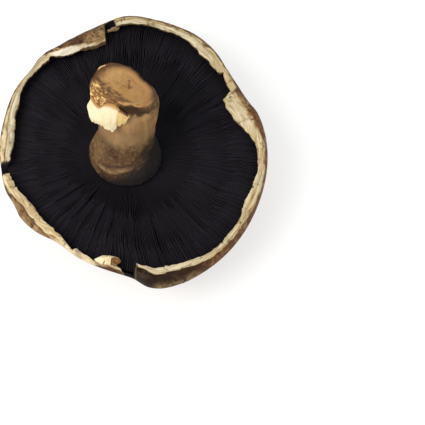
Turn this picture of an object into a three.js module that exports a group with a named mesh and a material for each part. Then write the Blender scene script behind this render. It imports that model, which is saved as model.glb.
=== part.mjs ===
// A portobello mushroom, picked whole and lying on the crown of its cap with the gills up.
// Cap, gills and stem grew as one piece, so they are one closed solid.
// Millimetres, +Z up. The origin is the middle of the small flat on the crown that it rests on.
import * as THREE from "three";

// Cap
const REST_RADIUS = 12; // the flat spot under the crown
const WIDEST_HEIGHT = 23; // height of the line where the cap is widest
const CROWN_BULGE = 2.5; // power of the skin's section: higher is a flatter crown
const SIDE_BULGE = 1.75; // power of the skin's section: higher is a steeper side
// The cap's outline in plan, as an angle from +X in degrees and the reach from the origin there.
const OUTLINE = [
  [17, 58.6], [25, 56.9], [34, 56.8], [44, 58.6], [54, 62.7], [64, 66], [73, 67.3], [83, 69.6],
  [92, 71.7], [98, 71.3], [103, 69.5], [108, 68], [116, 66.6], [124, 66], [130, 66.1], [135, 65.4],
  [140, 64], [152, 63.3], [165, 61.4], [188, 59.6], [200, 59.4], [207, 58.3], [214, 58.7], [224, 57.2],
  [234, 54.9], [246, 56.3], [262, 58.4], [271, 60.9], [277, 65.3], [284, 66.8], [303, 65], [335, 61],
];

// Rolled margin: how far the lip curls in over the gills, and how high it stands above the widest line.
// Torn places have no lip, so the gills run out to the edge there.
const LIP_WIDTH = [
  [2, 6], [10, 10], [17, 12.2], [24, 11.2], [31.5, 10.2], [33, 5.4], [37, 5.6], [42, 4], [43.4, 2.6],
  [44.6, 5.4], [52, 7.4], [59, 8.2], [66, 6.4], [74, 5], [82, 6.1], [88, 5.7], [94, 6.6], [99, 6.8],
  [100.2, 1.6], [103.2, 1.6], [104.5, 11.6], [111, 10.8], [116, 9.4], [121, 9.8], [125, 8.8],
  [129.5, 5], [130.5, 4.4], [132, 5.6], [137, 4.2], [145, 2.9], [152, 4.4], [158, 5.8], [165, 5.3],
  [173, 7], [180, 6.6], [188, 4.2], [188.8, 1], [192.4, 1], [193.6, 4.2], [200, 4.7], [206, 5],
  [214, 7.4], [219, 6.7], [225, 5.2], [231, 3.2], [237, 2.4], [242, 1], [243, 1.2], [244.4, 2.2],
  [251, 1.8], [254, 1.2], [256, 2.6], [262, 3.2], [266, 2.4], [267.3, 1.2], [271.5, 1.2], [272.3, 6.6],
  [277, 8], [284, 8.4], [291, 7.6], [302, 5], [318, 4.4], [332, 5.8], [347, 3.8],
];
const LIP_RISE = [
  [0, 5], [18, 5.6], [40, 4.4], [99, 5], [100.2, 3], [103.2, 3], [104.5, 6.4], [120, 6.2], [140, 4.2],
  [188, 5], [188.8, 1.2], [192.4, 1.2], [193.6, 5], [238, 4.8], [242, 3.4], [251, 3.4], [256, 3],
  [266, 3], [267.3, 1.2], [271.5, 1.2], [272.3, 6], [290, 5.8], [310, 4.8],
];
const LIP_THICKNESS = 2.2;
const LIP_DROOP = 0.14; // how much lower the lip's inner edge is, as a share of its width

// Gills
const GILLS = 132; // every second one is a short gill that starts part of the way out
const GILL_BED_INSET = 2.8; // the gills' outer ends, measured in from the outline
const GILL_HEIGHT = 24.4; // height of the gills' free edges half way out
const GILL_DROP_AT_STEM = 4.2;
const GILL_DROP_AT_MARGIN = 2.2;
const GILL_DEPTH = 4;
const SHORT_GILL_START = 0.48; // share of the way from stem to margin

// Stem
const STEM_FOOT = new THREE.Vector3(-3.4, -1.4, 17);
const STEM_TOP = new THREE.Vector3(-2, 11.2, 62);
const STEM_BEND = 0.3; // share of the height where the stem starts to lean
// How far the middle line weaves to +X at shares of the height.
const STEM_WEAVE = [[0, 0], [0.15, -0.1], [0.3, -0.2], [0.42, 0.5], [0.58, 1.1], [0.8, 0.6], [1, 0.5]];
// The stem's radius at shares of its height: bulb, neck and the swollen end.
const STEM_RADIUS = [
  [0, 15], [0.1, 16.3], [0.2, 15.9], [0.28, 14.6], [0.36, 13.1], [0.48, 12.3], [0.62, 13.1],
  [0.74, 14.6], [0.84, 15.5], [0.92, 15.8], [1, 14.4],
];
const FOOT_ROUNDING = 0.4; // how much the foot draws in where it meets the gills
const END_FLATNESS = 0.2; // how much narrower the swollen end is across its broken slope
// The side where the swollen end is shaved flatter, and the side where the bulb is slimmer.
const SHAVE = { angle: 33, halfAngle: 60, depth: 0.22 };
const SLIM = { angle: 26, halfAngle: 50, depth: 0.09, share: 0.22, halfShare: 0.24 };
const BREAK_SLOPE = 5.2; // the broken end is this much higher on its high side
const BREAK_HIGH_SIDE = 238; // degrees
const BREAK_HOLLOW = 1.6;
// Fresh flesh torn loose below the broken end: a ragged shelf that stands out of the stem's side.
const TEAR = { angle: 224, halfAngle: 40, low: 0.77, high: 0.9, out: 3.2 };

// How finely each surface is divided
const RIM_COLUMNS = GILLS * 2;
const SKIN_COLUMNS = GILLS;
const FOOT_COLUMNS = GILLS / 3;
const STEM_COLUMNS = 60;

const radians = THREE.MathUtils.degToRad;
const { lerp, smoothstep, clamp } = THREE.MathUtils;

// The value at an angle in a table of [angle, value] that goes once round, joined by straight lines.
function straightAround(table, angle) {
  const a = ((angle % 360) + 360) % 360;
  let i = table.findIndex(([at]) => at > a);
  if (i < 0) i = table.length;
  const [a0, v0] = i > 0 ? table[i - 1] : [table.at(-1)[0] - 360, table.at(-1)[1]];
  const [a1, v1] = i < table.length ? table[i] : [table[0][0] + 360, table[0][1]];
  return lerp(v0, v1, (a - a0) / (a1 - a0));
}

// The same with a smooth curve through the entries: cubic pieces whose slopes are those between neighbours.
function smoothAround(table, angle) {
  const n = table.length;
  const entry = (k) => {
    const turns = Math.floor(k / n);
    const [at, value] = table[k - turns * n];
    return [at + 360 * turns, value];
  };
  const a = ((angle % 360) + 360) % 360;
  let i = table.findIndex(([at]) => at > a);
  if (i < 0) i = n;
  return cubicThrough([i - 2, i - 1, i, i + 1].map(entry), a);
}

// A cubic between the middle two of four [place, value] entries.
function cubicThrough([[x0, y0], [x1, y1], [x2, y2], [x3, y3]], x) {
  const width = x2 - x1;
  const t = (x - x1) / width;
  const slope1 = ((y2 - y0) / (x2 - x0)) * width;
  const slope2 = ((y3 - y1) / (x3 - x1)) * width;
  const t2 = t * t;
  const t3 = t2 * t;
  return (
    (2 * t3 - 3 * t2 + 1) * y1 + (t3 - 2 * t2 + t) * slope1 + (3 * t2 - 2 * t3) * y2 + (t3 - t2) * slope2
  );
}

// A smooth curve through a table that runs from 0 to 1.
function smoothAlong(table, x) {
  const last = table.length - 1;
  let i = clamp(table.findIndex(([at]) => at > x), 1, last);
  if (x >= 1) i = last;
  const four = [i - 2, i - 1, i, i + 1].map((k) => table[clamp(k, 0, last)]);
  if (i === 1) four[0] = [2 * four[1][0] - four[2][0], four[1][1]];
  if (i === last) four[3] = [2 * four[2][0] - four[1][0], four[2][1]];
  return cubicThrough(four, x);
}

const reach = (angle) => smoothAround(OUTLINE, angle);

// The margin isn't level: it rises and falls a little round the cap.
function waveHeight(angle) {
  return 0.9 * Math.cos(radians(2 * angle - 50)) + 0.6 * Math.sin(radians(3 * angle + 20));
}

function atAngle(angle, radius, height) {
  return new THREE.Vector3(radius * Math.cos(radians(angle)), radius * Math.sin(radians(angle)), height);
}

// A ring of points, one for each column, from a function of the column's angle and number.
function ring(columns, pointAt) {
  return Array.from({ length: columns }, (_, i) => pointAt((360 * i) / columns, i));
}

// Skin: a superellipse from the flat spot to the widest line, where turn goes from 0 to 90 degrees.
function skinPoint(angle, turn) {
  const out = Math.sin(radians(turn)) ** (2 / CROWN_BULGE);
  const up = 1 - Math.cos(radians(turn)) ** (2 / SIDE_BULGE);
  const radius = lerp(REST_RADIUS, reach(angle), out);
  return atAngle(angle, radius, (WIDEST_HEIGHT + waveHeight(angle)) * up);
}

// Margin: a rolled lip. The share across the lip is 0 at the widest line and 1 at its inner edge.
function lipPoint(angle, across, drop) {
  const width = straightAround(LIP_WIDTH, angle);
  const rise = straightAround(LIP_RISE, angle);
  const crest = 0.42;
  const turn = Math.min(across / crest, 1) * 90;
  const over = Math.max(0, (across - crest) / (1 - crest));
  const radius =
    reach(angle) - width * (crest * (1 - Math.cos(radians(turn))) + (1 - crest) * over);
  const crestHeight = WIDEST_HEIGHT + waveHeight(angle) + rise * Math.sin(radians(turn));
  const thickness = Math.min(LIP_THICKNESS, rise * 0.5);
  return atAngle(angle, radius, crestHeight - LIP_DROOP * width * over * over - drop * thickness);
}

// Gills: ridges raised from the cap's flesh, from 0 at the stem to 1 under the lip.
function gillPoint(angle, column, out) {
  const inner = stemSide(angle, 0);
  const outer = atAngle(angle, reach(angle) - GILL_BED_INSET, 0);
  const edge =
    GILL_HEIGHT -
    GILL_DROP_AT_STEM * (1 - out) ** 3 -
    GILL_DROP_AT_MARGIN * out ** 4 +
    waveHeight(angle) * out;
  const isEdge = column % 2 === 0;
  const isShort = column % 4 === 2;
  const grown = isShort ? smoothstep(out, SHORT_GILL_START, SHORT_GILL_START + 0.12) : 1;
  const depth = GILL_DEPTH * smoothstep(out, -0.25, 0.2) * smoothstep(1.25 - out, 0, 0.45);
  const height = edge - depth * (isEdge ? 1 - grown : 1);
  return new THREE.Vector3(lerp(inner.x, outer.x, out), lerp(inner.y, outer.y, out), height);
}

// The middle line of the stem: upright through the bulb, then leaning and weaving.
function stemMiddle(share) {
  const lean = share <= STEM_BEND ? 0.35 * share * share / STEM_BEND : share - 0.65 * STEM_BEND;
  const along = lean / (1 - 0.65 * STEM_BEND);
  return new THREE.Vector3(
    lerp(STEM_FOOT.x, STEM_TOP.x, along) + smoothAlong(STEM_WEAVE, share),
    lerp(STEM_FOOT.y, STEM_TOP.y, along),
    lerp(STEM_FOOT.z, STEM_TOP.z, share),
  );
}

// How far an angle lies from another, from 0 to 180.
function angleBetween(angle, other) {
  return Math.abs(((((angle - other + 540) % 360) + 360) % 360) - 180);
}

// Stem's side: its radius round the middle line, with the torn shelf standing out of it.
function stemSide(angle, share) {
  const middle = stemMiddle(share);
  const across = Math.cos(radians(angle - BREAK_HIGH_SIDE));
  const sway = 1 + 0.02 * Math.sin(radians(3 * angle - 100));
  const flat = 1 - END_FLATNESS * across ** 2 * smoothstep(share, 0.4, 0.9);
  const beside = 1 - smoothstep(angleBetween(angle, SHAVE.angle), 0, SHAVE.halfAngle);
  const shaved = 1 - SHAVE.depth * beside * smoothstep(share, 0.55, 0.95);
  const low = 1 - smoothstep(Math.abs(share - SLIM.share), 0, SLIM.halfShare);
  const slimmed = 1 - SLIM.depth * low * (1 - smoothstep(angleBetween(angle, SLIM.angle), 0, SLIM.halfAngle));
  const rounded = 1 - FOOT_ROUNDING * (1 - smoothstep(share, -0.08, 0.14));
  const inTear =
    smoothstep(share, TEAR.low - 0.03, TEAR.low + 0.02) * smoothstep(TEAR.high - share, -0.06, 0.06);
  const torn = TEAR.out * inTear * smoothstep(1 - angleBetween(angle, TEAR.angle) / TEAR.halfAngle, 0, 0.3);
  const radius = smoothAlong(STEM_RADIUS, share) * sway * flat * shaved * slimmed * rounded + torn;
  return new THREE.Vector3(
    middle.x + radius * Math.cos(radians(angle)),
    middle.y + radius * Math.sin(radians(angle)),
    middle.z + BREAK_SLOPE * across * share ** 3,
  );
}

// The broken end: from the edge, at 1, to its middle, at 0, a little hollow.
function brokenEnd(angle, share) {
  const edge = stemSide(angle, 1);
  const middle = stemMiddle(1);
  const rounding = 1.2 * smoothstep(share, 0.6, 0.85) * smoothstep(1 - share, 0, 0.15);
  const hollow = BREAK_HOLLOW * (1 - share ** 2) - rounding;
  return new THREE.Vector3(
    lerp(middle.x, edge.x, share),
    lerp(middle.y, edge.y, share),
    lerp(middle.z, edge.z, share) - hollow,
  );
}

// Joins a run of rings into one closed surface, with a point at each end.
// Where two rings differ in columns, the one that is behind moves on next.
function closedSurface(firstPoint, rings, lastPoint) {
  const positions = [firstPoint, ...rings.flat(), lastPoint].flatMap((p) => p.toArray());
  const faces = [];
  let start = 1;
  rings[0].forEach((_, i) => faces.push(0, start + ((i + 1) % rings[0].length), start + i));
  rings.slice(1).forEach((upper, k) => {
    const lower = rings[k];
    const upperStart = start + lower.length;
    let i = 0;
    let j = 0;
    while (i < lower.length || j < upper.length) {
      const a = start + (i % lower.length);
      const b = upperStart + (j % upper.length);
      if ((i + 1) / lower.length <= (j + 1) / upper.length && i < lower.length) {
        faces.push(a, start + ((i + 1) % lower.length), b);
        i += 1;
      } else {
        faces.push(a, upperStart + ((j + 1) % upper.length), b);
        j += 1;
      }
    }
    start = upperStart;
  });
  const top = rings.at(-1);
  const end = start + top.length;
  top.forEach((_, i) => faces.push(end, start + i, start + ((i + 1) % top.length)));
  const geometry = new THREE.BufferGeometry();
  geometry.setAttribute("position", new THREE.Float32BufferAttribute(positions, 3));
  geometry.setIndex(faces);
  geometry.computeVertexNormals();
  return geometry;
}

function mushroomRings() {
  const rings = [];
  rings.push(ring(FOOT_COLUMNS, (angle) => atAngle(angle, REST_RADIUS, 0)));
  for (const turn of [16, 32, 48, 63, 77]) {
    rings.push(ring(SKIN_COLUMNS, (angle) => skinPoint(angle, turn)));
  }
  for (const across of [0, 0.22, 0.46, 0.9]) {
    rings.push(ring(RIM_COLUMNS, (angle) => lipPoint(angle, across, 0)));
  }
  rings.push(ring(RIM_COLUMNS, (angle) => lipPoint(angle, 1, 0.5)));
  rings.push(ring(RIM_COLUMNS, (angle) => lipPoint(angle, 0.9, 1)));
  for (const out of [1, 0.86, 0.7, 0.56, 0.42, 0.28, 0.14, 0.04]) {
    rings.push(ring(RIM_COLUMNS, (angle, column) => gillPoint(angle, column, out)));
  }
  for (const share of [0, 0.05, 0.12, 0.22, 0.32, 0.43, 0.54, 0.64, 0.73, 0.78, 0.82, 0.88, 0.94, 0.98]) {
    rings.push(ring(STEM_COLUMNS, (angle) => stemSide(angle, share)));
  }
  for (const share of [0.94, 0.8, 0.5, 0.2]) {
    rings.push(ring(STEM_COLUMNS, (angle) => brokenEnd(angle, share)));
  }
  return rings;
}

const flesh = new THREE.MeshStandardMaterial({ color: 0x8a5a38, roughness: 0.75, metalness: 0 });
const lowest = new THREE.Vector3(0, 0, 0);
const mushroom = new THREE.Mesh(closedSurface(lowest, mushroomRings(), brokenEnd(0, 0)), flesh);
mushroom.name = "mushroom";

const group = new THREE.Group();
group.add(mushroom);
export default group;
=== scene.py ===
"""A portobello mushroom, picked whole, lying on the crown of its cap with the gills up.

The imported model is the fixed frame, and holds the mushroom as the one solid that it grew as.
Finer surfaces of the same form stand for that solid here: the cap with its rolled margin, the gills
as separate blades, the stem with its broken end, and the flesh that is torn loose from both.
Shapes are worked out in millimetres, +Z up, and become metres where they are put into Blender.
"""

import itertools
import logging
from abc import ABC, abstractmethod
from dataclasses import dataclass, field
from enum import Enum

import bpy
import numpy as np
from mathutils import Euler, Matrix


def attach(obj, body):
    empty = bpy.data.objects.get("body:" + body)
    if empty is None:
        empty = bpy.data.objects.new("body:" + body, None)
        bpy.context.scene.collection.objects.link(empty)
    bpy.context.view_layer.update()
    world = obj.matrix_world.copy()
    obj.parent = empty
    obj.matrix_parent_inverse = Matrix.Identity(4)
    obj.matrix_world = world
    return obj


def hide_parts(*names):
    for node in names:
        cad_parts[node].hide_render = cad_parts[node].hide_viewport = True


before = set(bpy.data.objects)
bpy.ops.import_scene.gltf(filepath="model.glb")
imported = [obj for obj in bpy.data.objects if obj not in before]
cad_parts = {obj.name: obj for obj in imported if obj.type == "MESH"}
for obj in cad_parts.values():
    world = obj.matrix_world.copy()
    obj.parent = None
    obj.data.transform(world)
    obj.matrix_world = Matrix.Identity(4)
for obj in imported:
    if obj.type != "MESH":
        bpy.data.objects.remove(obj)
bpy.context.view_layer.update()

Array = np.ndarray
Colour = tuple[float, float, float, float]
Socket = bpy.types.NodeSocket

LOG = logging.getLogger("mushroom")
MM = 0.001
TINY = 1e-9
FULL_TURN = 360.0
NODE = "mushroom"
BODY = "root"


class Slot(Enum):
    """The record's material slots."""

    CAP_SKIN = "cap_skin"
    FLESH = "flesh"
    GILLS = "gills"
    STEM = "stem"


# Small sums on whole arrays


def smoothstep(value: Array, low: float, high: float) -> Array:
    """A smooth rise.

    Args:
        value: Any array.
        low: The value where the result leaves 0.
        high: The value where it reaches 1. It may lie below low, which makes a fall.

    Returns:
        3s² - 2s³, where s is the share of the way from low to high.
    """
    share = np.clip((value - low) / (high - low), 0.0, 1.0)
    return share * share * (3.0 - 2.0 * share)


def hill(value: Array, middle: float, half_width: float) -> Array:
    """A smooth hill that is 1 at its middle and 0 from half_width away."""
    return smoothstep(np.abs(value - middle), half_width, 0.0)


def turn_between(angle: Array, other: float) -> Array:
    """The way round from other to angle in degrees, from -180 to 180."""
    return np.mod(angle - other + 180.0, FULL_TURN) - 180.0


def sector(angle: Array, start: float, end: float, edge: float) -> Array:
    """1 between two angles and 0 outside, with a soft edge of that many degrees."""
    middle = 0.5 * (start + end)
    away = np.abs(turn_between(angle, middle))
    half = 0.5 * (end - start)
    return smoothstep(away, half + 0.5 * edge, half - 0.5 * edge)


def polar(angle: Array, radius: Array, height: Array) -> Array:
    """Points at an angle in degrees round the upright axis, a radius from it and a height."""
    turn = np.radians(angle)
    parts = np.broadcast_arrays(radius * np.cos(turn), radius * np.sin(turn), height)
    return np.stack(parts, axis=-1)


def blend(first: Array, second: Array, share: Array) -> Array:
    """Points on the way from first to second, where share has one number for each point."""
    return first + (second - first) * np.asarray(share)[..., None]


def cubic_through(places: Array, values: Array, at: Array) -> Array:
    """A smooth curve through a run of values.

    Each stretch is a cubic whose slope at an entry is that of the line between its two neighbours.

    Args:
        places: Where the values stand, rising, with one entry more than needed at each end.
        values: The values.
        at: Where the curve is read.

    Returns:
        The curve's value at each place.
    """
    i = np.clip(np.searchsorted(places, at, side="right") - 1, 1, len(places) - 3)
    width = places[i + 1] - places[i]
    t = (at - places[i]) / width
    slope_here = (values[i + 1] - values[i - 1]) / (places[i + 1] - places[i - 1]) * width
    slope_next = (values[i + 2] - values[i]) / (places[i + 2] - places[i]) * width
    return (
        (2 * t**3 - 3 * t**2 + 1) * values[i]
        + (t**3 - 2 * t**2 + t) * slope_here
        + (3 * t**2 - 2 * t**3) * values[i + 1]
        + (t**3 - t**2) * slope_next
    )


@dataclass(frozen=True)
class RimTable:
    """Values at angles round the rim, as pairs of degrees and value."""

    entries: tuple[tuple[float, float], ...]

    def straight(self, angle: Array) -> Array:
        """The values joined by straight lines."""
        places, values = np.array(self.entries).T
        return np.interp(angle, places, values, period=FULL_TURN)

    def smooth(self, angle: Array) -> Array:
        """The values joined by a smooth curve that closes on itself."""
        places, values = np.array(self.entries).T
        places = np.concatenate([places[-2:] - FULL_TURN, places, places[:2] + FULL_TURN])
        values = np.concatenate([values[-2:], values, values[:2]])
        return cubic_through(places, values, np.mod(angle, FULL_TURN))


@dataclass(frozen=True)
class Profile:
    """Values at shares of a length, from 0 to 1, joined by a smooth curve."""

    entries: tuple[tuple[float, float], ...]

    def at(self, share: Array) -> Array:
        """The curve's value at each share."""
        places, values = np.array(self.entries).T
        before, after = 2 * places[0] - places[1], 2 * places[-1] - places[-2]
        places = np.concatenate([[before], places, [after]])
        values = np.concatenate([values[:1], values, values[-1:]])
        return cubic_through(places, values, np.clip(share, 0.0, 1.0))


# Random but repeatable unevenness


@dataclass(frozen=True)
class Grain:
    """Smooth unevenness in space, between about -1 and 1.

    Random numbers stand on a lattice, and a smooth step leads from each to the next. Every further
    octave has cells of half the size and adds half as much.
    """

    seed: int
    cell: float
    octaves: int = 3
    lattice: int = 32

    def at(self, points: Array) -> Array:
        """The unevenness at points in millimetres."""
        shares = 0.5 ** np.arange(self.octaves)
        layers = (self._layer(points / (self.cell * share), i) for i, share in enumerate(shares))
        return sum(share * layer for share, layer in zip(shares, layers)) / shares.sum() * 1.6

    def _layer(self, points: Array, octave: int) -> Array:
        """One octave, with cells of size 1."""
        numbers = np.random.default_rng([self.seed, octave]).uniform(-1.0, 1.0, (self.lattice,) * 3)
        base = np.floor(points).astype(int)
        part = points - base
        fade = part * part * (3.0 - 2.0 * part)
        total = np.zeros(points.shape[:-1])
        for corner in itertools.product((0, 1), repeat=3):
            index = (base + corner) % self.lattice
            weight = np.prod(np.where(np.array(corner, bool), fade, 1.0 - fade), axis=-1)
            total += weight * numbers[index[..., 0], index[..., 1], index[..., 2]]
        return total


@dataclass(frozen=True)
class Cells:
    """Uneven cells in space, as in cracked clay: a point belongs to the nearest of scattered seeds."""

    seed: int
    size: float
    lattice: int = 24

    def at(self, points: Array) -> tuple[Array, Array]:
        """Places in the cells.

        Args:
            points: Points in millimetres.

        Returns:
            How far inside its cell each point is, 0 on a crack and near 1 in the middle, and a
            random number from 0 to 1 that is the same all over a cell.
        """
        random = np.random.default_rng(self.seed)
        offsets = random.uniform(0.0, 1.0, (self.lattice,) * 3 + (3,))
        labels = random.uniform(0.0, 1.0, (self.lattice,) * 3)
        scaled = points / self.size
        base = np.floor(scaled).astype(int)
        nearest = np.full(points.shape[:-1], np.inf)
        second = nearest.copy()
        label = np.zeros_like(nearest)
        for step in itertools.product((-1, 0, 1), repeat=3):
            cell = base + step
            index = tuple(np.moveaxis(cell % self.lattice, -1, 0))
            away = np.linalg.norm(cell + offsets[index] - scaled, axis=-1)
            closer = away < nearest
            second = np.where(closer, nearest, np.minimum(second, away))
            label = np.where(closer, labels[index], label)
            nearest = np.where(closer, away, nearest)
        return np.clip(second - nearest, 0.0, 1.0), label


# Surfaces on grids


def grid_normals(points: Array) -> Array:
    """The unit normals of a grid of rings.

    Args:
        points: Rings of points, as rings by columns by 3, where the columns close on themselves.

    Returns:
        At each point, the step to the next column crossed with the step to the next ring.
    """
    across = np.roll(points, -1, axis=1) - np.roll(points, 1, axis=1)
    along = np.gradient(points, axis=0)
    normal = np.cross(across, along)
    return normal / np.maximum(np.linalg.norm(normal, axis=-1, keepdims=True), TINY)


def raised(points: Array, height: Array) -> Array:
    """The grid of rings moved out along its normals by a height at each point."""
    return points + grid_normals(points) * height[..., None]


@dataclass
class Surface:
    """A mesh in the making: points in millimetres, faces, and one value a point for each mask."""

    points: Array
    faces: list[Array]
    masks: dict[str, Array] = field(default_factory=dict)

    @classmethod
    def from_rings(cls, rings: Array, masks: dict[str, Array]) -> "Surface":
        """A closed surface through rings that each close on themselves.

        The rings run from one end to the other, and the points of a ring run anticlockwise seen
        from the far end, so that the faces point out. Each end is closed with a fan round the
        middle of its ring.

        Args:
            rings: Points, as rings by columns by 3.
            masks: For each name, a value or a vector for each point of the rings.

        Returns:
            The surface.
        """
        count, columns = rings.shape[:2]
        index = np.arange(count * columns).reshape(count, columns)
        after = np.roll(index, -1, axis=1)
        quads = np.stack([index[:-1], after[:-1], after[1:], index[1:]], axis=-1).reshape(-1, 4)
        first, last = count * columns, count * columns + 1
        low_fan = np.stack([np.full(columns, first), after[0], index[0]], axis=-1)
        high_fan = np.stack([np.full(columns, last), index[-1], after[-1]], axis=-1)
        ends = np.stack([rings[0].mean(axis=0), rings[-1].mean(axis=0)])
        points = np.concatenate([rings.reshape(-1, 3), ends])
        flat = {name: cls._with_ends(values, count, columns) for name, values in masks.items()}
        return cls(points, [quads, low_fan, high_fan], flat)

    @staticmethod
    def _with_ends(values: Array, count: int, columns: int) -> Array:
        """A mask with the mean of its first and last ring added for the two end points."""
        shape = (count, columns) + values.shape[2:]
        values = np.broadcast_to(values, shape)
        ends = np.stack([values[0].mean(axis=0), values[-1].mean(axis=0)])
        return np.concatenate([values.reshape((count * columns,) + values.shape[2:]), ends])

    def build(self, name: str, material: bpy.types.Material, smooth: bool = True) -> bpy.types.Object:
        """Puts the surface into Blender.

        Args:
            name: The piece's name.
            material: Its finish.
            smooth: Whether its faces are shaded as one smooth surface.

        Returns:
            The object, at the origin, with its place in its mesh.
        """
        mesh = bpy.data.meshes.new(name)
        corners = [corner for block in self.faces for corner in block.tolist()]
        mesh.from_pydata((self.points * MM).tolist(), [], corners)
        for mask, values in self.masks.items():
            is_vector = values.ndim > 1
            kind, key = ("FLOAT_VECTOR", "vector") if is_vector else ("FLOAT", "value")
            attribute = mesh.attributes.new(mask, kind, "POINT")
            attribute.data.foreach_set(key, values.astype(np.float32).ravel())
        if smooth:
            mesh.shade_smooth()
        mesh.materials.append(material)
        made = bpy.data.objects.new(name, mesh)
        bpy.context.scene.collection.objects.link(made)
        return made


def hand_over(piece: bpy.types.Object) -> None:
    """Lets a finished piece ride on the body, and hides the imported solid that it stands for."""
    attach(piece, BODY)
    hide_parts(NODE)
    LOG.info("%s: %d points, %d faces", piece.name, len(piece.data.vertices), len(piece.data.polygons))


# Forms that the pieces share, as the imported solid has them


@dataclass(frozen=True)
class CapForm:
    """The cap's shape: skin, rolled margin and the height of the gills."""

    rest_radius: float = 12.0
    widest_height: float = 23.0
    crown_bulge: float = 2.5
    side_bulge: float = 1.75
    outline: RimTable = RimTable((
        (17, 58.6), (25, 56.9), (34, 56.8), (44, 58.6), (54, 62.7), (64, 66), (73, 67.3), (83, 69.6),
        (92, 71.7), (98, 71.3), (103, 69.5), (108, 68), (116, 66.6), (124, 66), (130, 66.1),
        (135, 65.4), (140, 64), (152, 63.3), (165, 61.4), (188, 59.6), (200, 59.4), (207, 58.3),
        (214, 58.7), (224, 57.2), (234, 54.9), (246, 56.3), (262, 58.4), (271, 60.9), (277, 65.3),
        (284, 66.8), (303, 65), (335, 61),
    ))
    lip_width: RimTable = RimTable((
        (2, 6), (10, 10), (17, 12.2), (24, 11.2), (31.5, 10.2), (33, 5.4), (37, 5.6), (42, 4),
        (43.4, 2.6), (44.6, 5.4), (52, 7.4), (59, 8.2), (66, 6.4), (74, 5), (82, 6.1), (88, 5.7),
        (94, 6.6), (99, 6.8), (100.2, 1.6), (103.2, 1.6), (104.5, 11.6), (111, 10.8), (116, 9.4),
        (121, 9.8), (125, 8.8), (129.5, 5), (130.5, 4.4), (132, 5.6), (137, 4.2), (145, 2.9),
        (152, 4.4), (158, 5.8), (165, 5.3), (173, 7), (180, 6.6), (188, 4.2), (188.8, 1), (192.4, 1),
        (193.6, 4.2), (200, 4.7), (206, 5), (214, 7.4), (219, 6.7), (225, 5.2), (231, 3.2), (237, 2.4),
        (242, 1), (243, 1.2), (244.4, 2.2), (251, 1.8), (254, 1.2), (256, 2.6), (262, 3.2), (266, 2.4),
        (267.3, 1.2), (271.5, 1.2), (272.3, 6.6), (277, 8), (284, 8.4), (291, 7.6), (302, 5),
        (318, 4.4), (332, 5.8), (347, 3.8),
    ))
    lip_rise: RimTable = RimTable((
        (0, 5), (18, 5.6), (40, 4.4), (99, 5), (100.2, 3), (103.2, 3), (104.5, 6.4), (120, 6.2),
        (140, 4.2), (188, 5), (188.8, 1.2), (192.4, 1.2), (193.6, 5), (238, 4.8), (242, 3.4),
        (251, 3.4), (256, 3), (266, 3), (267.3, 1.2), (271.5, 1.2), (272.3, 6), (290, 5.8), (310, 4.8),
    ))
    lip_crest: float = 0.42
    lip_thickness: float = 2.2
    lip_droop: float = 0.14
    gill_bed_inset: float = 2.8
    gill_height: float = 24.4
    gill_drop_at_stem: float = 4.2
    gill_drop_at_margin: float = 2.2
    gill_depth: float = 4.0

    def reach(self, angle: Array) -> Array:
        """How far the cap reaches from its middle at each angle."""
        return self.outline.smooth(angle)

    def wave(self, angle: Array) -> Array:
        """How much higher or lower the margin runs: two slow waves round the cap."""
        return 0.9 * np.cos(np.radians(2 * angle - 50)) + 0.6 * np.sin(np.radians(3 * angle + 20))

    def skin(self, angle: Array, turn: Array) -> Array:
        """Points on the skin.

        A superellipse from the flat spot to the widest line: the radius grows with a power of
        sin(turn) and the height with 1 less a power of cos(turn).

        Args:
            angle: Degrees round the cap.
            turn: Degrees from the flat spot, at 0, to the widest line, at 90.

        Returns:
            The points.
        """
        out = np.sin(np.radians(turn)) ** (2 / self.crown_bulge)
        up = 1 - np.maximum(np.cos(np.radians(turn)), 0.0) ** (2 / self.side_bulge)
        radius = self.rest_radius + (self.reach(angle) - self.rest_radius) * out
        return polar(angle, radius, (self.widest_height + self.wave(angle)) * up)

    def lip(self, angle: Array, across: Array, drop: Array, ragged: Array) -> Array:
        """Points on the rolled margin.

        A quarter turn from the widest line up to the crest, then a shallow fall to the inner edge.

        Args:
            angle: Degrees round the cap.
            across: 0 at the widest line, 1 at the inner edge.
            drop: 0 on the upper face, 1 on the face below it.
            ragged: Millimetres added to the lip's width at each angle.

        Returns:
            The points.
        """
        width = np.maximum(self.lip_width.straight(angle) + ragged, 0.8)
        rise = self.lip_rise.straight(angle)
        crest = self.lip_crest
        turn = np.radians(np.minimum(across / crest, 1.0) * 90.0)
        over = np.maximum(0.0, (across - crest) / (1 - crest))
        radius = self.reach(angle) - width * (crest * (1 - np.cos(turn)) + (1 - crest) * over)
        height = self.widest_height + self.wave(angle) + rise * np.sin(turn)
        thickness = np.minimum(self.lip_thickness, rise * 0.5)
        return polar(angle, radius, height - self.lip_droop * width * over**2 - drop * thickness)

    def gill_edge(self, angle: Array, out: Array) -> Array:
        """The height of the gills' free edges, from 0 at the stem to 1 under the lip."""
        drop = self.gill_drop_at_stem * (1 - out) ** 3 + self.gill_drop_at_margin * out**4
        return self.gill_height - drop + self.wave(angle) * out

    def bed_depth(self, out: Array) -> Array:
        """How deep the gills are: less at the stem and at the margin."""
        return self.gill_depth * smoothstep(out, -0.25, 0.2) * smoothstep(1.25 - out, 0.0, 0.45)


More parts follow.
